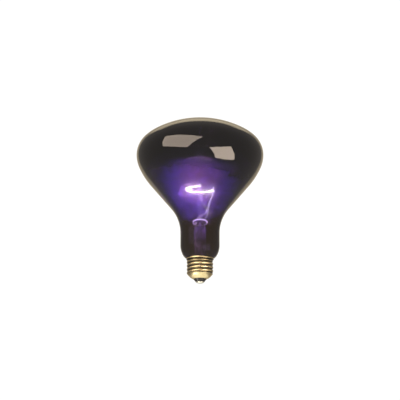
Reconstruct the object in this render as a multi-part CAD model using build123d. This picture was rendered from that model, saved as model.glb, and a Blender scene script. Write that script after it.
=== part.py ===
from build123d import *
from math import acos, atan2, cos, degrees, hypot, pi, radians, sin, sqrt, tan
import os

# Reflector bulb with a medium screw base. Millimetres, +Z from the centre contact to the crown.
# The origin is the middle of the centre contact's flat, and +X is to the right as seen from the front (-Y).

# Screw shell, drawn from brass sheet
THREAD_PITCH = 25.4 / 7
THREAD_MAJOR_R = 13.2
THREAD_ROOT_R = 12.3
THREAD_CREST_WIDTH = 2.7
THREAD_START_BELOW_CORNER = 1.1
THREAD_FADE = 1.3
SHEET = 0.3
SHELL_LIP_R = 6.6
SHELL_LIP_Z = 4.3
SHELL_BOTTOM_RISE = 4.6
SHELL_HEIGHT = 21.1
SHELL_BOTTOM_ARC_R = 13.2
RIM_R = 13.65
RIM_BAND = 1.1
RIM_FLARE = 1.4
NOTCH_WIDTH = 1.3
NOTCH_DEPTH = 1.7

# Insulator and centre contact
INSULATOR_TIP_R = 4.2
INSULATOR_ABOVE_LIP = 3.1
INSULATOR_DISH = 2.6
CONTACT_R = 4.0
CONTACT_THICKNESS = 0.5
SHANK_R = 1.1
SHANK_WALL = 0.3
SHANK_LENGTH = 2.4
SOLDER_HEIGHT = 0.8
SOLDER_R = 3.1
SOLDER_FLAT_R = 1.3
SOLDER_EDGE_R = 2.4
SIDE_SOLDER_R = 1.1

# Glass bulb: outer meridian as tangent arcs, from the crown down to the skirt inside the shell. It is one
# blown piece, kept as a bowl and a neck so that its collision follows the hollow round the throat.
GLASS_WALL = 0.9
BULB_R = 63.5
CROWN_ARC_R = 96.7
UPPER_SHOULDER_R = 24.0
UPPER_SHOULDER_DEG = 47.9
CROWN_BLEND_R = 47.3
LOWER_SHOULDER_R = 29.7
LOWER_SHOULDER_DEG = 24.0
CONE_BLEND_R = 75.7
CONE_HALF_DEG = 40.24
THROAT_R = 39.1
NECK_R = 19.55
NECK_LENGTH = 12.75
TUCK_R = 20.0
TUCK_DEG = 30.0
TUCK_END_R = 8.0
TUCK_RIM_GAP = 0.15
SKIRT_BLEND_R = 1.5
SKIRT_END_BELOW_RIM = 7.4
CEMENT_THICKNESS = 1.2
CEMENT_TOP_BELOW_RIM = 2.4

# Stem
STEM_TUBE_R = 6.0
STEM_LENGTH = 18.0
PRESS_BLEND = 6.0
PRESS_HEIGHT = 15.0
PRESS_WIDTH = 12.0
PRESS_THICKNESS = 4.0
PRESS_EDGE_R = 1.6
EXHAUST_R = 2.0
EXHAUST_WALL = 0.8
EXHAUST_TIP_ABOVE_INSULATOR = 5.6
EXHAUST_TAPER = 3.0
BLOW_HOLE_R = 0.8
ARBOR_R = 1.25
ARBOR_LENGTH = 31.0
BUTTON_R = 2.3

# Wires
LEAD_SPACING = 8.4
INNER_LEAD_R = 0.5
SEAL_WIRE_R = 0.35
SEAL_WIRE_LENGTH = 9.0
OUTER_LEAD_R = 0.3
LEAD_IN_PRESS = 3.0
LEAD_STRAIGHT_ABOVE_SHIELD = 2.5
LEAD_STRAIGHT_BELOW_FILAMENT = 2.2
LEAD_PAST_FILAMENT = 3.0
CENTRE_LEAD_BEND_ABOVE_INSULATOR = 1.6
SIDE_LEAD_BEND_ABOVE_SKIRT_END = 0.6
SIDE_LEAD_TURN = (2.9, 6.0)
SIDE_LEAD_BELOW_SKIRT_END = 4.2
SIDE_LEAD_SAG = 0.6
SIDE_LEAD_EXIT_BELOW_RIM = 1.1
SIDE_LEAD_CORNER_DROP = 0.3
SUPPORT_WIRE_R = 0.18
SUPPORT_COUNT = 5
SUPPORT_FIRST_DEG = 45.0
SUPPORT_STEP_DEG = 45.0
SUPPORT_HOOK_GAP = 0.08
SUPPORT_HOOK_DEG = 235.0
SUPPORT_ROOT_R = 1.1

# Bends of the inner leads: x, y beyond the arbor rod's clearance, share of the way from shield to filament
RIGHT_LEAD_BENDS = ((7.75, 0.0, 0.233), (8.4, 0.0, 0.504), (10.9, 0.0, 0.723))
FRONT_LEAD_BENDS = (
    (0.5, 1.8, 0.163),
    (6.3, 2.4, 0.268),
    (6.3, 3.4, 0.394),
    (2.3, 5.85, 0.539),
    (0.0, 9.25, 0.714),
)

# Filament
FILAMENT_RING_R = 13.6
FILAMENT_ABOVE_BUTTON = 8.3
FILAMENT_COIL_R = 0.55
FILAMENT_ARC_DEG = 270.0
FILAMENT_SEAT = 0.2

# Heat shield
SHIELD_R = 7.2
SHIELD_ABOVE_PRESS = 5.0
SHIELD_SHEET = 0.4
SHIELD_RIM_HEIGHT = 1.3
SHIELD_TILT_DEG = 12.0
SHIELD_HOLE_GAP = 0.25
SHIELD_LEAD_HOLE_R = 1.3


def polar(centre, radius, angle_deg):
    """Point at an angle on a circle, in the (r, z) half plane."""
    a = radians(angle_deg)
    return centre[0] + radius * cos(a), centre[1] + radius * sin(a)


def arc(centre, radius, start_deg, end_deg):
    """Arc of a circle in the half plane, from one angle to the other."""
    return CenterArc((centre[0], centre[1], 0), radius, start_deg, end_deg - start_deg)


def segments(*points):
    """Straight edges through the points, in order."""
    return [Line(a, b) for a, b in zip(points, points[1:])]


def turned(edges):
    """Solid of revolution about Z of the closed outline in the (r, z) half plane."""
    return revolve(Plane.XZ * make_face(edges), Axis.Z, 360)


def rod(radius, bottom, top, x=0.0, y=0.0):
    """Upright cylinder from one height to another."""
    return Pos(x, y, bottom) * Cylinder(radius, top - bottom, align=(Align.CENTER, Align.CENTER, Align.MIN))


def wire(radius, points):
    """Round wire along straight runs joined by the largest tangent arcs that the runs allow."""
    spots = [Vector(*p) for p in points]
    radii = []
    for a, b, c in zip(spots, spots[1:], spots[2:]):
        turn = radians((b - a).get_angle(c - b))
        radii.append(0.45 * min((b - a).length, (c - b).length) / tan(turn / 2))
    path = FilletPolyline(*spots, radius=radii)
    section = Plane(origin=spots[0], z_dir=spots[1] - spots[0]) * Circle(radius)
    return sweep(section, path=path)


# Derived places of the base, from the centre contact upwards
SHELL_CORNER_Z = SHELL_LIP_Z + SHELL_BOTTOM_RISE
RIM_Z = SHELL_LIP_Z + SHELL_HEIGHT
SHELL_BORE_R = THREAD_ROOT_R - SHEET
INSULATOR_TOP_Z = SHELL_LIP_Z + INSULATOR_ABOVE_LIP

# Derived places of the glass, from the shell's rim upwards
TUCK_CENTRE_R = NECK_R - TUCK_R
TUCK_END_CENTRE_R = TUCK_CENTRE_R + (TUCK_R - TUCK_END_R) * cos(radians(TUCK_DEG))
RIM_TOUCH_SIN = sqrt(1 - ((RIM_R - TUCK_END_CENTRE_R) / TUCK_END_R) ** 2)
TUCK_END_CENTRE_Z = RIM_Z + TUCK_RIM_GAP + TUCK_END_R * RIM_TOUCH_SIN
TUCK_Z = TUCK_END_CENTRE_Z + (TUCK_R - TUCK_END_R) * sin(radians(TUCK_DEG))
SKIRT_R = SHELL_BORE_R - CEMENT_THICKNESS
SKIRT_TURN_DEG = degrees(acos((SKIRT_R + SKIRT_BLEND_R - TUCK_END_CENTRE_R) / (TUCK_END_R + SKIRT_BLEND_R)))
SKIRT_END_Z = RIM_Z - SKIRT_END_BELOW_RIM
NECK_TOP_Z = TUCK_Z + NECK_LENGTH

UPPER_CENTRE_R = BULB_R - UPPER_SHOULDER_R
CROWN_BLEND_CENTRE_R = UPPER_CENTRE_R + (UPPER_SHOULDER_R - CROWN_BLEND_R) * cos(radians(UPPER_SHOULDER_DEG))
CROWN_DEG = degrees(acos(CROWN_BLEND_CENTRE_R / (CROWN_ARC_R - CROWN_BLEND_R)))
LOWER_CENTRE_R = BULB_R - LOWER_SHOULDER_R
CONE_BLEND_CENTRE_R = LOWER_CENTRE_R + (LOWER_SHOULDER_R - CONE_BLEND_R) * cos(radians(LOWER_SHOULDER_DEG))
CONE_TOP_R = CONE_BLEND_CENTRE_R + CONE_BLEND_R * cos(radians(CONE_HALF_DEG))
THROAT_CENTRE = (NECK_R + THROAT_R, NECK_TOP_Z)
CONE_FOOT = polar(THROAT_CENTRE, THROAT_R, 180 - CONE_HALF_DEG)
CONE_TOP_Z = CONE_FOOT[1] + (CONE_TOP_R - CONE_FOOT[0]) / tan(radians(CONE_HALF_DEG))
CONE_BLEND_CENTRE = (CONE_BLEND_CENTRE_R, CONE_TOP_Z + CONE_BLEND_R * sin(radians(CONE_HALF_DEG)))
LOWER_CENTRE = polar(CONE_BLEND_CENTRE, CONE_BLEND_R - LOWER_SHOULDER_R, -LOWER_SHOULDER_DEG)
EQUATOR_Z = LOWER_CENTRE[1]
UPPER_CENTRE = (UPPER_CENTRE_R, EQUATOR_Z)
CROWN_BLEND_CENTRE = polar(UPPER_CENTRE, UPPER_SHOULDER_R - CROWN_BLEND_R, UPPER_SHOULDER_DEG)
CROWN_CENTRE = polar(CROWN_BLEND_CENTRE, CROWN_BLEND_R - CROWN_ARC_R, CROWN_DEG)
OVERALL_LENGTH = CROWN_CENTRE[1] + CROWN_ARC_R

# Derived places of the mount
STEM_BORE_R = STEM_TUBE_R - GLASS_WALL
STEM_TUBE_TOP_Z = SKIRT_END_Z + STEM_LENGTH
PRESS_BOTTOM_Z = STEM_TUBE_TOP_Z + PRESS_BLEND
PRESS_TOP_Z = PRESS_BOTTOM_Z + PRESS_HEIGHT
EXHAUST_TOP_Z = PRESS_BOTTOM_Z - 3.5 * BLOW_HOLE_R
EXHAUST_TIP_Z = INSULATOR_TOP_Z + EXHAUST_TIP_ABOVE_INSULATOR
LEAD_X = LEAD_SPACING / 2
LEAD_FOOT_Z = PRESS_TOP_Z - LEAD_IN_PRESS
SEAL_FOOT_Z = LEAD_FOOT_Z - SEAL_WIRE_LENGTH
BUTTON_Z = PRESS_TOP_Z + ARBOR_LENGTH
FILAMENT_Z = BUTTON_Z + FILAMENT_ABOVE_BUTTON
LEAD_TOP_Z = FILAMENT_Z + LEAD_PAST_FILAMENT
SHIELD_Z = PRESS_TOP_Z + SHIELD_ABOVE_PRESS


def bowl_meridian(depth):
    """Edges of the glass at a depth below its outer face, from the crown's pole down to the cone's foot."""
    cone_top = polar(CONE_BLEND_CENTRE, CONE_BLEND_R - depth, -CONE_HALF_DEG)
    return [
        arc(CROWN_CENTRE, CROWN_ARC_R - depth, 90, CROWN_DEG),
        arc(CROWN_BLEND_CENTRE, CROWN_BLEND_R - depth, CROWN_DEG, UPPER_SHOULDER_DEG),
        arc(UPPER_CENTRE, UPPER_SHOULDER_R - depth, UPPER_SHOULDER_DEG, 0),
        arc(LOWER_CENTRE, LOWER_SHOULDER_R - depth, 0, -LOWER_SHOULDER_DEG),
        arc(CONE_BLEND_CENTRE, CONE_BLEND_R - depth, -LOWER_SHOULDER_DEG, -CONE_HALF_DEG),
        Line(cone_top, cone_foot(depth)),
    ]


def neck_meridian(depth):
    """Edges of the glass at a depth below its outer face, from the throat's top to the skirt's end."""
    tuck_end = (TUCK_END_CENTRE_R, TUCK_END_CENTRE_Z)
    skirt_centre = polar(tuck_end, TUCK_END_R + SKIRT_BLEND_R, -SKIRT_TURN_DEG)
    return [
        arc(THROAT_CENTRE, THROAT_R + depth, 180 - CONE_HALF_DEG, 180),
        Line((NECK_R - depth, NECK_TOP_Z), (NECK_R - depth, TUCK_Z)),
        arc((TUCK_CENTRE_R, TUCK_Z), TUCK_R - depth, 0, -TUCK_DEG),
        arc(tuck_end, TUCK_END_R - depth, -TUCK_DEG, -SKIRT_TURN_DEG),
        arc(skirt_centre, SKIRT_BLEND_R + depth, 180 - SKIRT_TURN_DEG, 180),
        Line((SKIRT_R - depth, skirt_centre[1]), (SKIRT_R - depth, SKIRT_END_Z)),
    ]


def cone_foot(depth):
    """Point where the cone meets the throat, at a depth below the outer face."""
    return polar(THROAT_CENTRE, THROAT_R + depth, 180 - CONE_HALF_DEG)


def make_bowl():
    """Crown, shoulder and cone of the blown glass bulb, down to the throat."""
    pole = Line((0, OVERALL_LENGTH), (0, OVERALL_LENGTH - GLASS_WALL))
    foot = Line(cone_foot(0), cone_foot(GLASS_WALL))
    return turned(bowl_meridian(0) + bowl_meridian(GLASS_WALL) + [pole, foot])


def make_neck():
    """Throat, neck and tucked-in skirt of the same glass bulb, open at the skirt's end."""
    top = Line(cone_foot(0), cone_foot(GLASS_WALL))
    end = Line((SKIRT_R, SKIRT_END_Z), (SKIRT_R - GLASS_WALL, SKIRT_END_Z))
    return turned(neck_meridian(0) + neck_meridian(GLASS_WALL) + [top, end])


def shell_bottom_centre():
    """Centre of the arc that rounds the shell's bottom from its wall to its lip."""
    wall = (THREAD_ROOT_R, SHELL_CORNER_Z)
    lip = (SHELL_LIP_R, SHELL_LIP_Z)
    half = hypot(wall[0] - lip[0], wall[1] - lip[1]) / 2
    rise = sqrt(SHELL_BOTTOM_ARC_R**2 - half**2)
    along = atan2(wall[1] - lip[1], wall[0] - lip[0]) + pi / 2
    return (wall[0] + lip[0]) / 2 + rise * cos(along), (wall[1] + lip[1]) / 2 + rise * sin(along)


def shell_bottom(depth, end_z=None):
    """Arc of the shell's bottom at a depth in the sheet, from its wall, or a height, to its lip."""
    centre = shell_bottom_centre()
    radius = SHELL_BOTTOM_ARC_R - depth
    lip_deg = degrees(atan2(SHELL_LIP_Z - centre[1], SHELL_LIP_R - centre[0]))
    if end_z is None:
        start_deg = -degrees(acos((THREAD_ROOT_R - depth - centre[0]) / radius))
    else:
        start_deg = -degrees(acos(sqrt(radius**2 - (centre[1] - end_z) ** 2) / radius))
    return arc(centre, radius, start_deg, lip_deg)


def shell_side(depth):
    """Points of the shell's wall at a depth in the sheet, from the flare's foot to the rim."""
    lean = atan2(RIM_R - THREAD_ROOT_R, RIM_FLARE)
    rise = depth * tan(lean / 2)
    top_z = RIM_Z - SHEET / 2
    flare_top_z = RIM_Z - RIM_BAND
    return [
        (THREAD_ROOT_R - depth, flare_top_z - RIM_FLARE + rise),
        (RIM_R - depth, flare_top_z + rise),
        (RIM_R - depth, top_z),
    ]


def thread_bound(depth):
    """Body that a thread ridge stays in: its cones fade the ridge at both ends of the threaded length."""
    height = THREAD_MAJOR_R - THREAD_ROOT_R
    root = THREAD_ROOT_R - depth
    wide = root + 2 * height
    creep = depth * tan(atan2(height, THREAD_FADE) / 2)
    low = (shell_bottom(depth) @ 0).Y
    high = RIM_Z - RIM_BAND - RIM_FLARE + THREAD_FADE / 4 - creep
    outline = segments(
        (0, low),
        (root, low),
        (wide, low + 2 * THREAD_FADE),
        (wide, high - 2 * THREAD_FADE),
        (root, high),
        (0, high),
        (0, low),
    )
    return turned(outline)


def thread_ridge(depth):
    """Rolled thread ridge at a depth in the sheet, as a swept round crest, before it is bounded."""
    height = THREAD_MAJOR_R - THREAD_ROOT_R
    crest_r = ((THREAD_CREST_WIDTH / 2) ** 2 + height**2) / (2 * height)
    centre_r = THREAD_MAJOR_R - crest_r
    radius = crest_r - depth
    foot_r = THREAD_ROOT_R - depth - SHEET
    half = sqrt(radius**2 - (foot_r - centre_r) ** 2)
    start_z = SHELL_CORNER_Z - THREAD_START_BELOW_CORNER - 0.75 * THREAD_PITCH
    outline = [
        ThreePointArc((foot_r, -half), (centre_r + radius, 0), (foot_r, half)),
        Line((foot_r, half), (foot_r, -half)),
    ]
    section = Plane(origin=(0, 0, start_z), x_dir=(1, 0, 0), z_dir=(0, -1, 0)) * make_face(outline)
    path = Pos(0, 0, start_z) * Helix(THREAD_PITCH, RIM_Z - start_z, THREAD_ROOT_R)
    return sweep(section, path=path, is_frenet=True)


def shell_body(depth):
    """Filled body of the shell at a depth in its sheet, with its thread."""
    side = shell_side(depth)
    bottom = shell_bottom(depth)
    lip = shell_bottom(SHEET) @ 1
    lip = (lip.X, lip.Y)
    inside_top = (RIM_R - SHEET, RIM_Z - SHEET / 2)
    outline = [bottom, Line(bottom @ 0, side[0])] + segments(*side)
    if depth == 0:
        outline.append(ThreePointArc(side[-1], (RIM_R - SHEET / 2, RIM_Z), inside_top))
        outline.append(Line(bottom @ 1, lip))
    outline += segments(inside_top, (0, inside_top[1]), (0, lip[1]), lip)
    return turned(outline) + (thread_ridge(depth) & thread_bound(depth))


def make_shell():
    """Brass shell: rounded bottom, rolled thread of the sheet's thickness, flared rim, notch at the back."""
    notch = Pos(0, RIM_R, RIM_Z) * Box(NOTCH_WIDTH, RIM_R / 2, 2 * NOTCH_DEPTH)
    return shell_body(0) - shell_body(SHEET) - notch


def make_insulator():
    """Black glass moulded into the shell's bottom, with a hole for the centre lead."""
    side = shell_bottom(SHEET, INSULATOR_TOP_Z)
    lip = shell_bottom(0) @ 1
    top = side @ 0
    seat_z = SOLDER_HEIGHT + CONTACT_THICKNESS
    dish_z = INSULATOR_TOP_Z - INSULATOR_DISH
    rest = segments(
        side @ 1,
        lip,
        (INSULATOR_TIP_R, seat_z),
        (SHANK_R, seat_z),
        (SHANK_R, dish_z),
        top,
    )
    return turned([side] + rest)


def make_eyelet():
    """Centre contact: a disc with a hollow shank that sits in the insulator's hole."""
    low = SOLDER_HEIGHT
    high = SOLDER_HEIGHT + CONTACT_THICKNESS
    bore = SHANK_R - SHANK_WALL
    outline = segments(
        (bore, low),
        (CONTACT_R, low),
        (CONTACT_R, high),
        (SHANK_R, high),
        (SHANK_R, high + SHANK_LENGTH),
        (bore, high + SHANK_LENGTH),
        (bore, low),
    )
    return turned(outline)


def make_centre_solder(lead):
    """Low dome of solder under the eyelet, run up its shank round the lead."""
    bore = SHANK_R - SHANK_WALL
    dome = RadiusArc((SOLDER_FLAT_R, 0), (SOLDER_R, SOLDER_HEIGHT), -SOLDER_EDGE_R)
    plug_z = SOLDER_HEIGHT + CONTACT_THICKNESS
    rest = segments(
        (SOLDER_R, SOLDER_HEIGHT),
        (bore, SOLDER_HEIGHT),
        (bore, plug_z),
        (0, plug_z),
        (0, 0),
        (SOLDER_FLAT_R, 0),
    )
    return turned([dome] + rest) - lead


def make_cement(lead):
    """Ring of cement between the skirt and the shell, with the side lead through it."""
    top = RIM_Z - CEMENT_TOP_BELOW_RIM
    ring = rod(SHELL_BORE_R, SKIRT_END_Z - GLASS_WALL, top) - rod(SKIRT_R, SKIRT_END_Z - GLASS_WALL, top)
    return ring - lead


def make_stem(cut_by):
    """Stem: flare fused to the skirt's end, tube, and the press that seals the wires."""
    bend_centre = (SKIRT_R - GLASS_WALL, SKIRT_END_Z + SKIRT_R - GLASS_WALL - STEM_TUBE_R)
    bend_r = bend_centre[0] - STEM_TUBE_R
    foot_z = SKIRT_END_Z - GLASS_WALL
    outside = [arc(bend_centre, bend_r, 270, 180)] + segments(
        (STEM_TUBE_R, bend_centre[1]),
        (STEM_TUBE_R, STEM_TUBE_TOP_Z),
        (0, STEM_TUBE_TOP_Z),
        (0, foot_z),
        (SKIRT_R, foot_z),
        (SKIRT_R, SKIRT_END_Z),
        (bend_centre[0], SKIRT_END_Z),
    )
    inside = [arc(bend_centre, bend_r + GLASS_WALL, 270, 180)] + segments(
        (STEM_BORE_R, bend_centre[1]),
        (STEM_BORE_R, STEM_TUBE_TOP_Z),
        (EXHAUST_R, EXHAUST_TOP_Z),
        (0, EXHAUST_TOP_Z),
        (0, foot_z),
        (bend_centre[0], foot_z),
    )
    press_outline = RectangleRounded(PRESS_WIDTH, PRESS_THICKNESS, PRESS_EDGE_R)
    press_foot = Pos(0, 0, PRESS_BOTTOM_Z) * press_outline
    blend = loft([Pos(0, 0, STEM_TUBE_TOP_Z) * Circle(STEM_TUBE_R), press_foot])
    glass = turned(outside) + blend + extrude(press_foot, PRESS_HEIGHT)
    channel = rod(EXHAUST_R - EXHAUST_WALL, EXHAUST_TOP_Z, PRESS_BOTTOM_Z - BLOW_HOLE_R / 2)
    hole_z = PRESS_BOTTOM_Z - 2 * BLOW_HOLE_R
    blow_hole = Pos(0, 0, hole_z) * Rot(-90, 0, 0) * Cylinder(
        BLOW_HOLE_R, STEM_TUBE_R, align=(Align.CENTER, Align.CENTER, Align.MIN)
    )
    solid = glass - turned(inside) - channel - blow_hole
    for piece in cut_by:
        solid = solid - piece
    return solid


def make_exhaust_tube():
    """Glass tube on the axis, drawn to a closed tip in the base."""
    bore = EXHAUST_R - EXHAUST_WALL
    shoulder_z = EXHAUST_TIP_Z + EXHAUST_TAPER
    outline = segments(
        (0, EXHAUST_TIP_Z),
        (EXHAUST_WALL / 2, EXHAUST_TIP_Z),
        (EXHAUST_R, shoulder_z),
        (EXHAUST_R, EXHAUST_TOP_Z),
        (bore, EXHAUST_TOP_Z),
        (bore, shoulder_z),
        (0, shoulder_z - EXHAUST_WALL),
        (0, EXHAUST_TIP_Z),
    )
    return turned(outline)


def make_arbor(supports):
    """Glass rod on the press with a round button, in which the support wires are set."""
    solid = rod(ARBOR_R, PRESS_TOP_Z, BUTTON_Z) + Pos(0, 0, BUTTON_Z) * Sphere(BUTTON_R)
    for support in supports:
        solid = solid - support
    return solid


def lead_height(share):
    """Height at a share of the way from the heat shield up to the filament."""
    return SHIELD_Z + share * (FILAMENT_Z - SHIELD_Z)


def make_right_lead():
    """Lead from the press to the filament's right end."""
    points = [
        (LEAD_X, 0, LEAD_FOOT_Z),
        (LEAD_X, 0, SHIELD_Z + LEAD_STRAIGHT_ABOVE_SHIELD),
        *[(x, 0, lead_height(share)) for x, _, share in RIGHT_LEAD_BENDS],
        (FILAMENT_RING_R, 0, FILAMENT_Z - LEAD_STRAIGHT_BELOW_FILAMENT),
        (FILAMENT_RING_R, 0, LEAD_TOP_Z),
    ]
    return wire(INNER_LEAD_R, points)


def make_front_lead():
    """Lead from the press round the arbor rod, with an expansion bend, to the filament's front end."""
    clear = ARBOR_R + INNER_LEAD_R
    points = [
        (-LEAD_X, 0, LEAD_FOOT_Z),
        (-LEAD_X, 0, SHIELD_Z + LEAD_STRAIGHT_ABOVE_SHIELD),
        *[(x, -clear - beyond, lead_height(share)) for x, beyond, share in FRONT_LEAD_BENDS],
        (0, -FILAMENT_RING_R, FILAMENT_Z - LEAD_STRAIGHT_BELOW_FILAMENT),
        (0, -FILAMENT_RING_R, LEAD_TOP_Z),
    ]
    return wire(INNER_LEAD_R, points)


def make_centre_outer_lead():
    """Copper wire from the left seal down past the exhaust tube to the centre contact."""
    points = [
        (-LEAD_X, 0, SEAL_FOOT_Z),
        (-LEAD_X, 0, EXHAUST_TIP_Z + EXHAUST_TAPER),
        (0, 0, INSULATOR_TOP_Z + CENTRE_LEAD_BEND_ABOVE_INSULATOR),
        (0, 0, SOLDER_HEIGHT / 2),
    ]
    return wire(OUTER_LEAD_R, points)


def make_side_outer_lead():
    """Copper wire from the right seal, under the flare, through the cement and out over the rim's notch."""
    cement_mid_r = SHELL_BORE_R - CEMENT_THICKNESS / 2
    under_z = SKIRT_END_Z - SIDE_LEAD_BELOW_SKIRT_END
    exit_z = RIM_Z - SIDE_LEAD_EXIT_BELOW_RIM
    points = [
        (LEAD_X, 0, SEAL_FOOT_Z),
        (LEAD_X, 0, SKIRT_END_Z + SIDE_LEAD_BEND_ABOVE_SKIRT_END),
        (*SIDE_LEAD_TURN, under_z - SIDE_LEAD_SAG),
        (0, cement_mid_r, under_z),
        (0, cement_mid_r, exit_z - SIDE_LEAD_CORNER_DROP),
        (0, RIM_R + SIDE_SOLDER_R / 2, exit_z),
    ]
    return wire(OUTER_LEAD_R, points)


def make_filament():
    """Outer form of the tungsten coil: a round bar bent to three quarters of a ring."""
    first_deg = degrees((INNER_LEAD_R - FILAMENT_SEAT) / FILAMENT_RING_R)
    sweep_deg = FILAMENT_ARC_DEG - 2 * first_deg
    path = Pos(0, 0, FILAMENT_Z) * CenterArc((0, 0, 0), FILAMENT_RING_R, first_deg, sweep_deg)
    section = Plane(origin=path @ 0, z_dir=path % 0) * Circle(FILAMENT_COIL_R)
    return sweep(section, path=path)


def make_support(angle_deg):
    """Wire from the button out to a hook round the filament."""
    hook_r = FILAMENT_COIL_R + SUPPORT_HOOK_GAP + SUPPORT_WIRE_R
    start = (SUPPORT_ROOT_R, 0)
    eye = (FILAMENT_RING_R, FILAMENT_ABOVE_BUTTON)
    reach = hypot(eye[0] - start[0], eye[1] - start[1])
    heading = degrees(atan2(eye[1] - start[1], eye[0] - start[0]))
    touch_deg = heading + 180 + degrees(acos(hook_r / reach))
    touch = polar(eye, hook_r, touch_deg)
    path = Wire([Line(start, touch), arc(eye, hook_r, touch_deg, touch_deg + SUPPORT_HOOK_DEG)])
    section = Plane(origin=path @ 0, z_dir=path % 0) * Circle(SUPPORT_WIRE_R)
    hooked = sweep(section, path=path)
    return Rot(0, 0, angle_deg) * Pos(0, 0, BUTTON_Z) * Rot(90, 0, 0) * hooked


def make_shield(right_lead):
    """Canted metal disc with a rolled rim, welded to the right lead and clear of the other wires."""
    floor = Cylinder(SHIELD_R, SHIELD_SHEET)
    rim_z = (SHIELD_RIM_HEIGHT - SHIELD_SHEET) / 2
    bore = Cylinder(SHIELD_R - SHIELD_SHEET, SHIELD_RIM_HEIGHT)
    rim = Pos(0, 0, rim_z) * (Cylinder(SHIELD_R, SHIELD_RIM_HEIGHT) - bore)
    disc = Pos(0, 0, SHIELD_Z) * Rot(-SHIELD_TILT_DEG, 0, 0) * (floor + rim)
    low = SHIELD_Z - SHIELD_R
    high = SHIELD_Z + SHIELD_R
    rod_hole = rod(ARBOR_R + SHIELD_HOLE_GAP, low, high)
    lead_hole = rod(SHIELD_LEAD_HOLE_R, low, high, x=-LEAD_X)
    return disc - rod_hole - lead_hole - right_lead


def make_side_solder(shell, glass, lead):
    """Bead of solder on the rim at the back, round the side lead's end."""
    bead = Pos(0, RIM_R + SHEET, RIM_Z - SIDE_LEAD_EXIT_BELOW_RIM) * Sphere(SIDE_SOLDER_R)
    return bead - shell - glass - lead - rod(RIM_R - SHEET, 0, RIM_Z)


def write(name, solid):
    """Write one node's solid as a STEP file."""
    export_step(solid, os.path.join("parts", name + ".step"))
    print(name, round(solid.volume, 3))


def main():
    """Build every piece and write it."""
    os.makedirs("parts", exist_ok=True)
    right_lead = make_right_lead()
    front_lead = make_front_lead()
    centre_lead = make_centre_outer_lead()
    side_lead = make_side_outer_lead()
    seal_right = rod(SEAL_WIRE_R, SEAL_FOOT_Z, LEAD_FOOT_Z, x=LEAD_X)
    seal_left = rod(SEAL_WIRE_R, SEAL_FOOT_Z, LEAD_FOOT_Z, x=-LEAD_X)
    exhaust_tube = make_exhaust_tube()
    supports = [make_support(SUPPORT_FIRST_DEG + i * SUPPORT_STEP_DEG) for i in range(SUPPORT_COUNT)]
    neck = make_neck()
    shell = make_shell()

    write("glass_bowl", make_bowl())
    write("glass_neck", neck)
    write("screw_shell", shell)
    write("base_insulator", make_insulator())
    write("contact_eyelet", make_eyelet())
    write("centre_solder", make_centre_solder(centre_lead))
    write("side_solder", make_side_solder(shell, neck, side_lead))
    write("basing_cement", make_cement(side_lead))
    write("stem_flare", make_stem([right_lead, front_lead, centre_lead, side_lead, seal_right, seal_left]))
    write("exhaust_tube", exhaust_tube)
    write("arbor_rod", make_arbor(supports))
    write("inner_lead_right", right_lead)
    write("inner_lead_front", front_lead)
    write("seal_wire_right", seal_right)
    write("seal_wire_left", seal_left)
    write("outer_lead_side", side_lead)
    write("outer_lead_centre", centre_lead)
    write("filament", make_filament() - right_lead - front_lead)
    write("heat_shield", make_shield(right_lead))
    for number, support in enumerate(supports, start=1):
        write(f"support_wire_{number}", support)


main()
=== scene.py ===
"""Looks of the lit violet reflector bulb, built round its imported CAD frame.

Sizes in the classes are millimetres, as on a drawing, unless a comment says otherwise. One constant turns
them to metres where a mesh, a light or a camera is made.
"""

import logging
import math
from collections.abc import Sequence
from dataclasses import dataclass
from enum import Enum

import bpy
import numpy as np
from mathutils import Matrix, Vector


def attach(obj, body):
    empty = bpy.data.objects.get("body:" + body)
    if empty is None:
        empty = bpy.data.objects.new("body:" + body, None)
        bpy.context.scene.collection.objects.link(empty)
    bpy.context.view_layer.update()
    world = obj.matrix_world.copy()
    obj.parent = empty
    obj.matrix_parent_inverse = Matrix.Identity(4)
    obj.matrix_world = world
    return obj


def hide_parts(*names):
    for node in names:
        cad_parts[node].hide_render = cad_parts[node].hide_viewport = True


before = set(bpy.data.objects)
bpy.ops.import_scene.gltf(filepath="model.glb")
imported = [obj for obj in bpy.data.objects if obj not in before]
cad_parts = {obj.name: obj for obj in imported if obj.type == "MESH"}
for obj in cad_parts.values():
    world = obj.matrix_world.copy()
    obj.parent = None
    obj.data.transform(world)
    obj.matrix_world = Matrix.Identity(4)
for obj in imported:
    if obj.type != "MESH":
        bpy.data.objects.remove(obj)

MM = 0.001
LOG = logging.getLogger("bulb")

Colour = tuple[float, float, float, float]
Point = tuple[float, float, float]
Span = tuple[float, float]
Outline = list[Span]
Inputs = dict[str | int, object] | tuple[object, ...]
Node = bpy.types.Node
Socket = bpy.types.NodeSocket
Tree = bpy.types.NodeTree

WHOLE: Span = (0.0, 1.0)


class Slot(Enum):
    """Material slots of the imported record."""

    VIOLET_GLASS = "violet_glass"
    SHELL_BRASS = "shell_brass"
    BLACK_GLASS = "black_glass"
    CONTACT_METAL = "contact_metal"
    SOLDER = "solder"
    CEMENT = "cement"
    STEM_GLASS = "stem_glass"
    NICKEL_WIRE = "nickel_wire"
    COPPER_WIRE = "copper_wire"
    TUNGSTEN = "tungsten"
    SHIELD_METAL = "shield_metal"
    MOLYBDENUM_WIRE = "molybdenum_wire"


def linear(hex_code: str) -> Colour:
    """Turns an sRGB colour to the linear one that shaders take.

    Args:
        hex_code: The colour as #RRGGBB.

    Returns:
        Red, green, blue and alpha, linear.
    """
    channels = [int(hex_code[i : i + 2], 16) / 255 for i in (1, 3, 5)]
    curve = [c / 12.92 if c <= 0.04045 else ((c + 0.055) / 1.055) ** 2.4 for c in channels]
    return curve[0], curve[1], curve[2], 1.0


def pattern_scale(size_mm: float) -> float:
    """Gives the texture scale at which one feature of a pattern is that many millimetres across."""
    return 1.0 / (size_mm * MM)


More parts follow.
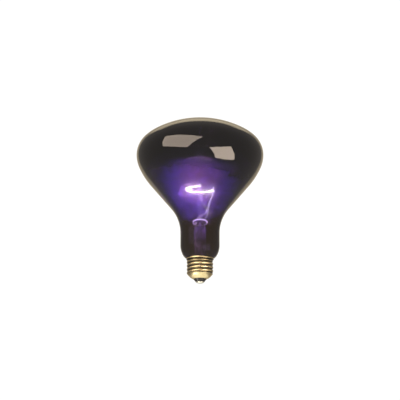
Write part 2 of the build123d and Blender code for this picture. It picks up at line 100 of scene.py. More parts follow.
def metres(span: Span) -> Span:
    """Turns a span in millimetres to metres."""
    return span[0] * MM, span[1] * MM


def add(tree: Tree, kind: str, inputs: Inputs = (), **settings: object) -> Node:
    """Adds a node with its settings and links.

    Args:
        tree: The node tree that gets the node.
        kind: The node's type name.
        inputs: What goes into its inputs, by their names or numbers or in their order: a value, a colour as
            #RRGGBB, the socket that feeds it, or a node whose first output does.
        **settings: Properties of the node itself.

    Returns:
        The new node.
    """
    node = tree.nodes.new(kind)
    for name, setting in settings.items():
        setattr(node, name, setting)
    for name, source in inputs.items() if isinstance(inputs, dict) else enumerate(inputs):
        if isinstance(source, (Node, Socket)):
            tree.links.new(source.outputs[0] if isinstance(source, Node) else source, node.inputs[name])
        else:
            node.inputs[name].default_value = linear(source) if isinstance(source, str) else source
    return node


def blank_material(name: str) -> tuple[bpy.types.Material, Tree]:
    """Makes a material that has no nodes yet.

    Args:
        name: The material's name.

    Returns:
        The material and its node tree.
    """
    material = bpy.data.materials.new(name)
    material.use_nodes = True
    material.node_tree.nodes.clear()
    return material, material.node_tree


@dataclass(frozen=True)
class Finish:
    """A named material and how its nodes are made."""

    name: str
    slot: Slot

    def build(self, tree: Tree) -> tuple[Node, ...]:
        """Makes the nodes, and gives the one of the surface and, for glass, the one of its inside."""
        raise NotImplementedError

    def material(self) -> bpy.types.Material:
        """Gives the material, made on first use.

        Returns:
            The material.
        """
        material = bpy.data.materials.get(self.name)
        if material is None:
            material, tree = blank_material(self.name)
            add(tree, "ShaderNodeOutputMaterial", self.build(tree))
        return material


@dataclass(frozen=True)
class Metal(Finish):
    """A bare metal surface with its grain, stain and fine scratches.

    Caught light is the filament's light that a metal near it throws back. The metal gives it off itself,
    because little of what it would reflect comes out through the dark glass.
    """

    colour: str
    stain: str
    stain_mm: float
    stain_share: float = 0.4
    stain_span: Span = (0.4, 0.75)
    roughness: Span = (0.5, 0.7)
    grain_mm: float = 0.25
    grain_depth_mm: float = 0.004
    grain_stretch: Point = (1.0, 1.0, 1.0)
    recess_shade: str = "#000000"
    recess_shade_share: Span = (0.0, 0.0)
    drawn: float = 0.0
    caught_colour: str = "#FFE2BE"
    caught_light: float = 0.0
    caught_z: Span = (60.0, 96.0)
    caught_low_share: float = 0.04
    caught_up: Span = (-0.75, 0.1)
    caught_rim_r: Span | None = None
    caught_rim_share: float = 0.7

    def build(self, tree: Tree) -> tuple[Node, ...]:
        """Makes the nodes: stain and painted shade over the metal's colour, grain, die lines and caught
        light.

        Args:
            tree: The material's empty node tree.

        Returns:
            The node of its surface.
        """
        place = add(tree, "ShaderNodeTexCoord").outputs["Object"]
        inputs = {"Vector": place, "Scale": pattern_scale(self.stain_mm), "Detail": 4.0}
        stain = add(tree, "ShaderNodeTexNoise", inputs)
        amount = add(tree, "ShaderNodeMapRange", (stain, *self.stain_span, 0.0, self.stain_share))
        inputs = {0: amount, 6: self.colour, 7: self.stain}
        colour = add(tree, "ShaderNodeMix", inputs, data_type="RGBA").outputs[2]
        # Painted shade: the colour darkens toward a near-black where the mesh marks a recess
        if self.recess_shade_share[1] > 0:
            uneven = add(tree, "ShaderNodeMapRange", (stain, *WHOLE, *self.recess_shade_share))
            root = add(tree, "ShaderNodeAttribute", attribute_name="recess_shade").outputs["Fac"]
            painted_shade = add(tree, "ShaderNodeMath", (root, uneven), operation="MULTIPLY", use_clamp=True)
            inputs = {0: painted_shade, 6: colour, 7: self.recess_shade}
            colour = add(tree, "ShaderNodeMix", inputs, data_type="RGBA").outputs[2]
        stretched = add(tree, "ShaderNodeMapping", {"Vector": place, "Scale": Vector(self.grain_stretch)})
        inputs = {"Vector": stretched, "Scale": pattern_scale(self.grain_mm), "Detail": 3.0}
        grain = add(tree, "ShaderNodeTexNoise", inputs)
        inputs = {
            "Metallic": 1.0,
            "Base Color": colour,
            "Roughness": add(tree, "ShaderNodeMapRange", (grain, *WHOLE, *self.roughness)),
            "Normal": add(tree, "ShaderNodeBump", {"Height": grain, "Distance": self.grain_depth_mm * MM}),
        }
        if self.drawn > 0:
            around = add(tree, "ShaderNodeTangent", direction_type="RADIAL", axis="Z")
            inputs |= {"Anisotropic": self.drawn, "Tangent": around}
        if self.caught_light > 0:
            inputs |= {
                "Emission Color": self.caught_colour,
                "Emission Strength": self._caught(tree, place),
            }
        return (add(tree, "ShaderNodeBsdfPrincipled", inputs),)

    def _caught(self, tree: Tree, place: Socket) -> Node:
        """Gives the caught light: more near the filament, none on undersides but for a disc's rim.

        Args:
            tree: The node tree.
            place: Socket with the place in metres.

        Returns:
            The node with the strength.
        """
        shares = (self.caught_low_share * self.caught_light, self.caught_light)
        height = add(tree, "ShaderNodeSeparateXYZ", (place,)).outputs["Z"]
        near = add(tree, "ShaderNodeMapRange", (height, *metres(self.caught_z), *shares))
        normal = add(tree, "ShaderNodeNewGeometry").outputs["Normal"]
        up = add(tree, "ShaderNodeSeparateXYZ", (normal,)).outputs["Z"]
        lit = add(tree, "ShaderNodeMapRange", (up, *self.caught_up), interpolation_type="SMOOTHSTEP")
        if self.caught_rim_r is not None:
            level = (place, Vector((1.0, 1.0, 0.0)))
            flat = add(tree, "ShaderNodeVectorMath", level, operation="MULTIPLY")
            radius = add(tree, "ShaderNodeVectorMath", (flat,), operation="LENGTH").outputs["Value"]
            shares = (0.0, self.caught_rim_share)
            rim = add(tree, "ShaderNodeMapRange", (radius, *metres(self.caught_rim_r), *shares))
            lit = add(tree, "ShaderNodeMath", (lit, rim), operation="MAXIMUM")
        return add(tree, "ShaderNodeMath", (near, lit), operation="MULTIPLY")


@dataclass(frozen=True)
class Haze:
    """One forward-scattering share of the frost on the glass's inner face."""

    colour: str
    roughness: float
    share: float
    cloudy: float = 0.0


@dataclass(frozen=True)
class VioletGlass(Finish):
    """Soda-lime glass coloured deep violet in the melt, blown, with a light inside frost in its cone."""

    # Blown and fire-polished, so the outer face is a clean mirror with a very slight draw in it. The colour
    # is in the glass: nearly black by reflection, blue-violet where the filament shines through. The frost
    # inside, a little heavier on the left, spreads the filament's light: pink close to it and blue further
    # out. The throat and the neck were worked in a flame after blowing, which leaves a thin brown film on
    # them that dulls their gloss but for the edges, where the eye meets it at a slant.
    tint: str = "#332E59"
    ior: float = 1.62
    roughness: Span = (0.015, 0.03)
    worked_z: Span = (62.0, 90.0)
    dull_share: float = 0.98
    edge_facing: Span = (0.45, 0.8)
    edge_keep: float = 0.25
    film_colour: str = "#7A6A58"
    film_share: float = 0.07
    absorption_density: float = 150.0
    absorption_colour: str = "#803AC0"
    hazes: tuple[Haze, ...] = (
        Haze(colour="#C0F8BC", roughness=0.22, share=0.16),
        Haze(colour="#B8E0C4", roughness=0.36, share=0.11),
        Haze(colour="#E08EF6", roughness=0.54, share=0.11, cloudy=0.3),
        Haze(colour="#6C5CFF", roughness=0.7, share=0.2, cloudy=0.45),
    )
    lean_x: Span = (-36.0, 36.0)
    lean: Span = (1.6, 0.6)
    glow_foot_z: Span = (56.0, 70.0)
    glow_head_z: Span = (93.0, 118.0)
    mottle_mm: float = 9.0
    mottle_pull: float = 0.6
    mottle_span: Span = (0.3, 0.7)
    draw_mm: float = 22.0
    draw_depth_mm: float = 0.06

    def build(self, tree: Tree) -> tuple[Node, ...]:
        """Makes the nodes: violet glass, dulled on its worked outer face and frosted on its inner one.

        Args:
            tree: The material's empty node tree.

        Returns:
            The nodes of its surface and of the colour inside it.
        """
        place = add(tree, "ShaderNodeTexCoord").outputs["Object"]
        inside = add(tree, "ShaderNodeAttribute", attribute_name="inside").outputs["Fac"]
        inputs = {"Vector": place, "Scale": pattern_scale(self.draw_mm), "Detail": 1.0}
        draw = add(tree, "ShaderNodeTexNoise", inputs)
        inputs = {
            "Base Color": self.tint,
            "IOR": self.ior,
            "Transmission Weight": 1.0,
            "Normal": add(tree, "ShaderNodeBump", {"Height": draw, "Distance": self.draw_depth_mm * MM}),
            "Roughness": add(tree, "ShaderNodeMapRange", (inside, *WHOLE, *self.roughness)),
        }
        surface = add(tree, "ShaderNodeBsdfPrincipled", inputs)
        surface = self._dulled(tree, surface, place, inside)
        surface = self._frosted(tree, surface, place, inside)
        inputs = {"Color": self.absorption_colour, "Density": self.absorption_density}
        return surface, add(tree, "ShaderNodeVolumeAbsorption", inputs)

    def _dulled(self, tree: Tree, surface: Node, place: Socket, inside: Socket) -> Node:
        """Takes the gloss off the outer face where it was worked, and lays the thin film there.

        Args:
            tree: The node tree.
            surface: The node of the glass so far.
            place: Socket with the place in metres.
            inside: Socket that is 1 on the inner face and 0 on the outer one.

        Returns:
            The node of the surface.
        """
        once = tuple(math.sqrt(c) for c in linear(self.tint))
        inputs = {"Color": once, "Roughness": self.roughness[0], "IOR": self.ior}
        clear = add(tree, "ShaderNodeBsdfRefraction", inputs)
        film = add(tree, "ShaderNodeBsdfDiffuse", {"Color": self.film_colour})
        slant = add(tree, "ShaderNodeLayerWeight").outputs["Facing"]
        edge = add(tree, "ShaderNodeMapRange", (slant, *self.edge_facing, 1.0, self.edge_keep))
        outside = add(tree, "ShaderNodeMapRange", (inside, *WHOLE, 1.0, 0.0))
        dulled = add(tree, "ShaderNodeMath", (outside, edge), operation="MULTIPLY")
        height = add(tree, "ShaderNodeSeparateXYZ", (place,)).outputs["Z"]
        for share, shader in ((self.dull_share, clear), (self.film_share, film)):
            fade = (height, *metres(self.worked_z), share, 0.0)
            worked = add(tree, "ShaderNodeMapRange", fade, interpolation_type="SMOOTHSTEP")
            laid = add(tree, "ShaderNodeMath", (worked, dulled), operation="MULTIPLY")
            surface = add(tree, "ShaderNodeMixShader", (laid, surface, shader))
        return surface

    def _frosted(self, tree: Tree, surface: Node, place: Socket, inside: Socket) -> Node:
        """Lays the frost on the inner face of the cone, one haze over the other.

        Args:
            tree: The node tree.
            surface: The node of the glass so far.
            place: Socket with the place in metres.
            inside: Socket that is 1 on the inner face and 0 on the outer one.

        Returns:
            The node of the surface.
        """
        along = add(tree, "ShaderNodeSeparateXYZ", (place,)).outputs
        frost = inside
        for fade in (
            (along["Z"], *metres(self.glow_foot_z), 0.0, 1.0),
            (along["Z"], *metres(self.glow_head_z), 1.0, 0.0),
            (along["X"], *metres(self.lean_x), *self.lean),
        ):
            part = add(tree, "ShaderNodeMapRange", fade, interpolation_type="SMOOTHSTEP")
            frost = add(tree, "ShaderNodeMath", (frost, part), operation="MULTIPLY")
        inputs = {
            "Vector": place,
            "Scale": pattern_scale(self.mottle_mm),
            "Detail": 3.0,
            "Distortion": self.mottle_pull,
        }
        mottle = add(tree, "ShaderNodeTexNoise", inputs)
        for haze in self.hazes:
            shares = (haze.share * (1 - haze.cloudy), haze.share * (1 + haze.cloudy))
            cloud = add(tree, "ShaderNodeMapRange", (mottle, *self.mottle_span, *shares))
            laid = add(tree, "ShaderNodeMath", (cloud, frost), operation="MULTIPLY")
            inputs = {"Color": haze.colour, "Roughness": haze.roughness, "IOR": self.ior}
            spread = add(tree, "ShaderNodeBsdfRefraction", inputs)
            surface = add(tree, "ShaderNodeMixShader", (laid, surface, spread))
        return surface


@dataclass(frozen=True)
class LeadGlass(Finish):
    """Clear lead glass, drawn as tube and rod and pressed hot round the wires."""

    # Drawn glass is clear with bright edges. Pressing leaves it wrinkled and a little milky with seeds. The
    # rod brings the filament's light down into it; the wrinkled glass gives it off as a painted glow, in
    # patches.
    tint: str = "#F2F4EE"
    ior: float = 1.56
    roughness: float = 0.04
    milk_share: float = 0.3
    wrinkle_mm: float = 2.2
    wrinkle_pull: float = 1.0
    wrinkle_depth_mm: float = 0.12
    piped_colour: str = "#EEB2D8"
    piped_light: Span = (0.12, 2.0)
    piped_z: Span = (43.0, 54.0)
    patch_span: Span = (0.42, 0.62)

    def build(self, tree: Tree) -> tuple[Node, ...]:
        """Makes the nodes: clear glass with a small milky share, wrinkles and patches of painted glow.

        Args:
            tree: The material's empty node tree.

        Returns:
            The node of its surface.
        """
        place = add(tree, "ShaderNodeTexCoord").outputs["Object"]
        inputs = {
            "Vector": place,
            "Scale": pattern_scale(self.wrinkle_mm),
            "Detail": 3.0,
            "Distortion": self.wrinkle_pull,
        }
        wrinkle = add(tree, "ShaderNodeTexNoise", inputs)
        height = add(tree, "ShaderNodeSeparateXYZ", (place,)).outputs["Z"]
        piped = add(tree, "ShaderNodeMapRange", (height, *metres(self.piped_z), *self.piped_light))
        patch = add(tree, "ShaderNodeMapRange", (wrinkle, *self.patch_span))
        relief = {"Height": wrinkle, "Distance": self.wrinkle_depth_mm * MM}
        inputs = {
            "Base Color": self.tint,
            "IOR": self.ior,
            "Roughness": self.roughness,
            "Transmission Weight": 1.0 - self.milk_share,
            "Normal": add(tree, "ShaderNodeBump", relief),
            "Emission Color": self.piped_colour,
            "Emission Strength": add(tree, "ShaderNodeMath", (piped, patch), operation="MULTIPLY"),
        }
        return (add(tree, "ShaderNodeBsdfPrincipled", inputs),)


@dataclass(frozen=True)
class BlackGlass(Finish):
    """Black glass, pressed into the shell's bottom while soft."""

    # Glass pressed like this is jet black with a wet gloss and small flow lines.
    colour: str = "#0A080B"
    flow: str = "#161019"
    ior: float = 1.5
    gloss: float = 0.3
    roughness: Span = (0.06, 0.14)
    flow_mm: float = 1.5
    flow_pull: float = 1.2
    flow_depth_mm: float = 0.02

    def build(self, tree: Tree) -> tuple[Node, ...]:
        """Makes the nodes: black body, glossy, with flow lines.

        Args:
            tree: The material's empty node tree.

        Returns:
            The node of its surface.
        """
        inputs = {
            "Vector": add(tree, "ShaderNodeTexCoord").outputs["Object"],
            "Scale": pattern_scale(self.flow_mm),
            "Detail": 3.0,
            "Distortion": self.flow_pull,
        }
        flow = add(tree, "ShaderNodeTexNoise", inputs)
        mixed = {0: flow, 6: self.colour, 7: self.flow}
        inputs = {
            "Base Color": add(tree, "ShaderNodeMix", mixed, data_type="RGBA").outputs[2],
            "IOR": self.ior,
            "Specular IOR Level": self.gloss,
            "Roughness": add(tree, "ShaderNodeMapRange", (flow, *WHOLE, *self.roughness)),
            "Normal": add(tree, "ShaderNodeBump", {"Height": flow, "Distance": self.flow_depth_mm * MM}),
        }
        return (add(tree, "ShaderNodeBsdfPrincipled", inputs),)


@dataclass(frozen=True)
class BasingCement(Finish):
    """Marble-filled resin cement, squeezed in and baked."""

    # Baked basing cement is a dry, tan, grainy mass with small pores.
    colour: str = "#B9A98C"
    pore: str = "#7E6F58"
    roughness: float = 0.9
    pore_mm: float = 0.5
    pore_depth_mm: float = 0.1

    def build(self, tree: Tree) -> tuple[Node, ...]:
        """Makes the nodes: tan grains with darker pores.

        Args:
            tree: The material's empty node tree.

        Returns:
            The node of its surface.
        """
        place = add(tree, "ShaderNodeTexCoord").outputs["Object"]
        inputs = {"Vector": place, "Scale": pattern_scale(self.pore_mm)}
        grain = add(tree, "ShaderNodeTexVoronoi", inputs)
        mixed = {0: grain, 6: self.pore, 7: self.colour}
        inputs = {
            "Base Color": add(tree, "ShaderNodeMix", mixed, data_type="RGBA").outputs[2],
            "Roughness": self.roughness,
            "Normal": add(tree, "ShaderNodeBump", {"Height": grain, "Distance": self.pore_depth_mm * MM}),
        }
        return (add(tree, "ShaderNodeBsdfPrincipled", inputs),)


@dataclass(frozen=True)
class GlowingTungsten(Finish):
    """Drawn tungsten wire, coiled and heated to about 2800 K."""

    # White hot, so the eye sees only its light, which is strongest on the left: the lead on the right draws
    # heat from its end. The wire itself is grey and uneven.
    light: str = "#FFD9A8"
    strength: float = 19000.0
    cool_share: float = 0.2
    ring_x: Span = (-13.6, 13.6)
    dark: str = "#6E6A66"
    pale: str = "#8C8884"
    uneven_mm: float = 6.0
    roughness: float = 0.45

    def build(self, tree: Tree) -> tuple[Node, ...]:
        """Makes the nodes: a grey metal that gives off light, less on the right.

        Args:
            tree: The material's empty node tree.

        Returns:
            The node of its surface.
        """
        place = add(tree, "ShaderNodeTexCoord").outputs["Object"]
        inputs = {"Vector": place, "Scale": pattern_scale(self.uneven_mm), "Detail": 1.0}
        greys = {0: add(tree, "ShaderNodeTexNoise", inputs), 6: self.dark, 7: self.pale}
        across = add(tree, "ShaderNodeSeparateXYZ", (place,)).outputs["X"]
        coolness = add(tree, "ShaderNodeMapRange", (across, *metres(self.ring_x)))
        hot = linear(self.light)
        lights = {0: coolness, 6: hot, 7: tuple(self.cool_share * c for c in hot)}
        inputs = {
            "Metallic": 1.0,
            "Base Color": add(tree, "ShaderNodeMix", greys, data_type="RGBA").outputs[2],
            "Roughness": self.roughness,
            "Emission Color": add(tree, "ShaderNodeMix", lights, data_type="RGBA").outputs[2],
            "Emission Strength": self.strength,
        }
        return (add(tree, "ShaderNodeBsdfPrincipled", inputs),)


# Brass strip, deep-drawn and rolled: pale gold crests, painted shade darkening the roots, and fine draw
# marks up the cup that smear each highlight sideways
SHELL_BRASS = Metal(
    name="rolled_brass",
    slot=Slot.SHELL_BRASS,
    colour="#DACBA2",
    stain="#A08656",
    stain_mm=7.0,
    roughness=(0.25, 0.35),
    recess_shade="#20140A",
    recess_shade_share=(0.75, 1.2),
    drawn=0.75,
    grain_mm=0.7,
    grain_depth_mm=0.006,
    grain_stretch=(1.0, 1.0, 4.0),
)
# Tinned brass disc, stamped: pale grey-white with a soft sheen and handling marks
CONTACT_METAL = Metal(
    name="tinned_contact",
    slot=Slot.CONTACT_METAL,
    colour="#E4E6E0",
    stain="#B4B8AC",
    stain_mm=2.5,
    roughness=(0.4, 0.55),
    grain_mm=0.5,
    grain_depth_mm=0.01,
)
# Tin-lead solder, wiped while molten: smooth low waves, bright with a grey bloom
SOLDER = Metal(
    name="soft_solder",
    slot=Slot.SOLDER,
    colour="#E2E3DD",
    stain="#9FA49A",
    stain_share=0.5,
    stain_mm=1.6,
    roughness=(0.35, 0.55),
    grain_mm=1.2,
    grain_depth_mm=0.05,
)
# Nickel wire, drawn and annealed: grey-white, satin, with lengthwise die lines
NICKEL_WIRE = Metal(
    name="drawn_nickel",
    slot=Slot.NICKEL_WIRE,
    colour="#E6E0D8",
    stain="#B4ADA4",
    stain_share=0.35,
    stain_mm=3.0,
    grain_stretch=(1.0, 1.0, 0.2),
    caught_light=36.0,
)
# Copper wire, drawn, oxidised by the sealing flame: salmon with brown patches
COPPER_WIRE = Metal(
    name="drawn_copper",
    slot=Slot.COPPER_WIRE,
    colour="#E8A07C",
    stain="#8A4A30",
    stain_share=0.6,
    stain_mm=2.0,
    roughness=(0.25, 0.45),
    grain_stretch=(1.0, 1.0, 0.2),
)
# Nickel-plated steel, stamped: satin grey with heat tint, and a painted glow on its top and rolled rim
SHIELD_METAL = Metal(
    name="stamped_shield",
    slot=Slot.SHIELD_METAL,
    colour="#E0DCD8",
    stain="#9E94A0",
    stain_mm=3.5,
    grain_mm=0.5,
    grain_depth_mm=0.008,
    caught_light=45.0,
    caught_low_share=0.4,
    caught_rim_r=(6.2, 6.6),
)
# Molybdenum wire, drawn thin: darker steel grey with a satin face
MOLYBDENUM_WIRE = Metal(
    name="drawn_molybdenum",
    slot=Slot.MOLYBDENUM_WIRE,
    colour="#B8B4B0",
    stain="#7C7874",
    stain_mm=2.0,
    roughness=(0.35, 0.5),
    grain_mm=0.2,
    grain_depth_mm=0.002,
    grain_stretch=(1.0, 1.0, 0.2),
    caught_light=12.0,
)
VIOLET_GLASS = VioletGlass(name="violet_glass_blown", slot=Slot.VIOLET_GLASS)
STEM_GLASS = LeadGlass(name="lead_glass_drawn", slot=Slot.STEM_GLASS)
BLACK_GLASS = BlackGlass(name="black_glass_pressed", slot=Slot.BLACK_GLASS)
CEMENT = BasingCement(name="basing_cement_baked", slot=Slot.CEMENT)
TUNGSTEN = GlowingTungsten(name="tungsten_white_hot", slot=Slot.TUNGSTEN)

CARRIED_OVER: tuple[tuple[Finish, tuple[str, ...]], ...] = (
    (BLACK_GLASS, ("base_insulator",)),
    (CONTACT_METAL, ("contact_eyelet",)),
    (SOLDER, ("centre_solder", "side_solder")),
    (CEMENT, ("basing_cement",)),
    (STEM_GLASS, ("stem_flare", "exhaust_tube", "arbor_rod")),
    (NICKEL_WIRE, ("inner_lead_right", "inner_lead_front")),
    (COPPER_WIRE, ("seal_wire_right", "seal_wire_left", "outer_lead_side", "outer_lead_centre")),
    (SHIELD_METAL, ("heat_shield",)),
    (MOLYBDENUM_WIRE, tuple(f"support_wire_{number}" for number in range(1, 6))),
)


def polar(centre: Span, radius: float, angle_deg: float) -> Span:
    """Gives the point at an angle on a circle in the (r, z) half plane."""
    angle = math.radians(angle_deg)
    return centre[0] + radius * math.cos(angle), centre[1] + radius * math.sin(angle)


def arc(centre: Span, radius: float, start_deg: float, end_deg: float, steps: int) -> Outline:
    """Gives points along an arc in the half plane, in equal steps and with both ends included."""
    return [polar(centre, radius, start_deg + (end_deg - start_deg) * i / steps) for i in range(steps + 1)]


def straight(start: Span, end: Span, steps: int) -> Outline:
    """Gives points along a straight line in the half plane, both ends included."""
    return [tuple(s + (e - s) * i / steps for s, e in zip(start, end)) for i in range(steps + 1)]


def without_repeats(points: Outline, gap: float = 1e-4) -> Outline:
    """Drops each point that lies on the one before it."""
    return points[:1] + [b for a, b in zip(points, points[1:]) if math.dist(a, b) > gap]


def new_object(
    name: str,
    points: Sequence[Sequence[float]],
    faces: Sequence[tuple[int, ...]],
    material: bpy.types.Material,
) -> bpy.types.Object:
    """Makes a mesh object and puts it in the scene.

    Args:
        name: Its name.
        points: Its vertices, one row each, in metres.
        faces: Its faces as vertex numbers.
        material: Its material.

    Returns:
        The new object.
    """
    mesh = bpy.data.meshes.new(name)
    mesh.from_pydata([list(point) for point in points], [], faces)
    mesh.update()
    mesh.materials.append(material)
    piece = bpy.data.objects.new(name, mesh)
    bpy.context.scene.collection.objects.link(piece)
    return piece


def mark_points(piece: bpy.types.Object, name: str, values: np.ndarray) -> None:
    """Gives each vertex a number that the finish reads."""
    mark = piece.data.attributes.new(name, "FLOAT", "POINT")
    mark.data.foreach_set("value", values.astype(np.float32).ravel())


def place_mesh(
    name: str,
    points: np.ndarray,
    faces: list[tuple[int, ...]],
    finish: Finish,
    replaces: Sequence[str],
) -> bpy.types.Object:
    """Makes a smooth mesh piece, dresses it and ties it to the frame.

    Args:
        name: The piece's name.
        points: Its vertices, one row each, in millimetres.
        faces: Its faces as vertex numbers.
        finish: Its finish.
        replaces: The CAD nodes that it stands for.

    Returns:
        The new object.
    """
    piece = new_object(name, (points * MM).tolist(), faces, finish.material())
    piece.data.polygons.foreach_set("use_smooth", [True] * len(faces))
    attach(piece, "root")
    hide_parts(*replaces)
    LOG.info("%s: %d faces", name, len(faces))
    return piece


def grid_faces(rows: int, columns: int, wrap_rows: bool = False) -> list[tuple[int, ...]]:
    """Joins a grid of vertices that closes round its columns.

    Args:
        rows: Number of rows.
        columns: Number of vertices in each row.
        wrap_rows: Whether the last row joins the first.

    Returns:
        The faces as vertex numbers.
    """
    last = rows if wrap_rows else rows - 1
    faces = []
    for row in range(last):
        here = row * columns
        there = ((row + 1) % rows) * columns
        for column in range(columns):
            beside = (column + 1) % columns
            faces.append((here + column, there + column, there + beside, here + beside))
    return faces


@dataclass
class GlassBulb:
    """The blown glass envelope, as one wall with an outer and an inner face."""

    wall: float = 0.9
    bulb_r: float = 63.5
    crown_arc_r: float = 96.7
    upper_shoulder_r: float = 24.0
    upper_shoulder_deg: float = 47.9
    crown_blend_r: float = 47.3
    lower_shoulder_r: float = 29.7
    lower_shoulder_deg: float = 24.0
    cone_blend_r: float = 75.7
    cone_half_deg: float = 40.24
    throat_r: float = 39.1
    neck_r: float = 19.55
    neck_length: float = 12.75
    tuck_r: float = 20.0
    tuck_deg: float = 30.0
    tuck_end_r: float = 8.0
    tuck_rim_gap: float = 0.15
    rim_r: float = 13.65
    rim_z: float = 25.4
    skirt_r: float = 10.8
    skirt_blend_r: float = 1.5
    skirt_end_z: float = 18.0
    segments: int = 224

    def meridian(self, depth: float) -> Outline:
        """Gives the points of the glass at a depth below its outer face.

        Args:
            depth: The depth in millimetres.

        Returns:
            The points from the crown's pole down to the skirt's end.
        """
        tuck_centre_r = self.neck_r - self.tuck_r
        lean = math.radians(self.tuck_deg)
        end_centre_r = tuck_centre_r + (self.tuck_r - self.tuck_end_r) * math.cos(lean)
        touch = math.sqrt(1 - ((self.rim_r - end_centre_r) / self.tuck_end_r) ** 2)
        end_centre = (end_centre_r, self.rim_z + self.tuck_rim_gap + self.tuck_end_r * touch)
        tuck_z = end_centre[1] + (self.tuck_r - self.tuck_end_r) * math.sin(lean)
        neck_top_z = tuck_z + self.neck_length
        reach = (self.skirt_r + self.skirt_blend_r - end_centre_r) / (self.tuck_end_r + self.skirt_blend_r)
        skirt_deg = math.degrees(math.acos(reach))
        skirt_centre = polar(end_centre, self.tuck_end_r + self.skirt_blend_r, -skirt_deg)
        upper_r = self.bulb_r - self.upper_shoulder_r
        upper_blend = self.upper_shoulder_r - self.crown_blend_r
        blend_r = upper_r + upper_blend * math.cos(math.radians(self.upper_shoulder_deg))
        crown_deg = math.degrees(math.acos(blend_r / (self.crown_arc_r - self.crown_blend_r)))
        lower_r = self.bulb_r - self.lower_shoulder_r
        lower_blend = self.lower_shoulder_r - self.cone_blend_r
        cone_r = lower_r + lower_blend * math.cos(math.radians(self.lower_shoulder_deg))
        cone_lean = math.radians(self.cone_half_deg)
        cone_top_r = cone_r + self.cone_blend_r * math.cos(cone_lean)
        throat = (self.neck_r + self.throat_r, neck_top_z)
        foot = polar(throat, self.throat_r, 180 - self.cone_half_deg)
        cone_top_z = foot[1] + (cone_top_r - foot[0]) / math.tan(cone_lean)
        cone = (cone_r, cone_top_z + self.cone_blend_r * math.sin(cone_lean))
        lower = polar(cone, self.cone_blend_r - self.lower_shoulder_r, -self.lower_shoulder_deg)
        upper = (upper_r, lower[1])
        blend = polar(upper, upper_blend, self.upper_shoulder_deg)
        crown = polar(blend, self.crown_blend_r - self.crown_arc_r, crown_deg)
        high, low, cone_deg = self.upper_shoulder_deg, self.lower_shoulder_deg, self.cone_half_deg
        points = arc(crown, self.crown_arc_r - depth, 90, crown_deg, steps=26)
        points += arc(blend, self.crown_blend_r - depth, crown_deg, high, steps=14)
        points += arc(upper, self.upper_shoulder_r - depth, high, 0, steps=18)
        points += arc(lower, self.lower_shoulder_r - depth, 0, -low, steps=10)
        points += arc(cone, self.cone_blend_r - depth, -low, -cone_deg, steps=12)
        cone_foot = polar(throat, self.throat_r + depth, 180 - cone_deg)
        points += straight(points[-1], cone_foot, steps=10)
        points += arc(throat, self.throat_r + depth, 180 - cone_deg, 180, steps=14)
        neck_r = self.neck_r - depth
        points += straight((neck_r, neck_top_z), (neck_r, tuck_z), steps=4)
        points += arc((tuck_centre_r, tuck_z), self.tuck_r - depth, 0, -self.tuck_deg, steps=8)
        points += arc(end_centre, self.tuck_end_r - depth, -self.tuck_deg, -skirt_deg, steps=10)
        points += arc(skirt_centre, self.skirt_blend_r + depth, 180 - skirt_deg, 180, steps=5)
        skirt_r = self.skirt_r - depth
        points += straight((skirt_r, skirt_centre[1]), (skirt_r, self.skirt_end_z), steps=3)
        return without_repeats(points)

    def build(self) -> None:
        """Makes the wall as one closed mesh, with the inner face marked for its frost."""
        outer = self.meridian(0.0)
        inner = self.meridian(self.wall)[::-1]
        rings = outer[1:] + inner[:-1]
        turn = np.linspace(0, 2 * math.pi, self.segments, endpoint=False)
        r = np.array([p[0] for p in rings])[:, None]
        z = np.array([p[1] for p in rings])[:, None]
        body = np.stack([r * np.cos(turn), r * np.sin(turn), z + 0 * turn], axis=-1).reshape(-1, 3)
        poles = np.array([[0, 0, outer[0][1]], [0, 0, inner[-1][1]]])
        points = np.concatenate([body, poles])
        faces = grid_faces(len(rings), self.segments)
        top = len(body)
        last = (len(rings) - 1) * self.segments
        for column in range(self.segments):
            beside = (column + 1) % self.segments
            faces.append((top, column, beside))
            faces.append((top + 1, last + beside, last + column))
        glass = place_mesh("violet_bulb", points, faces, VIOLET_GLASS, ["glass_bowl", "glass_neck"])
        inside = np.zeros(len(points))
        inside[(len(outer) - 1) * self.segments : len(body)] = 1.0
        inside[-1] = 1.0
        mark_points(glass, "inside", inside)


